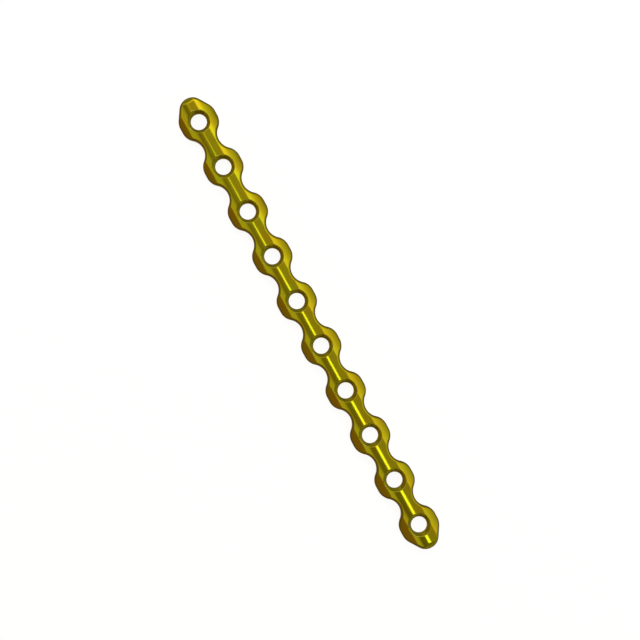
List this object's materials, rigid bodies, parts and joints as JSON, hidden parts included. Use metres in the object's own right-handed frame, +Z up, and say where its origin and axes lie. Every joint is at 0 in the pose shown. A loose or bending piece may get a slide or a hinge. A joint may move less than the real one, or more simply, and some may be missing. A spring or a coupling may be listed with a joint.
{
  "type": "bone plate",
  "caption": "straight scalloped bone plate with a row of round tapered screw holes, a crowned top and bullet ends, for fixing a broken bone with locking screws",
  "frame": {"origin": "middle of the flat underside, half way along the row of holes", "axes": "+X along the row of holes, +Y across the plate, +Z up out of the crowned top, the side that the screws enter"},
  "size_m": [0.1202, 0.0092, 0.003],
  "materials": {
    "anodised_titanium": "polished"
  },
  "bodies": {
    "root": {"bone_plate": "anodised_titanium"}
  },
  "joints": []
}
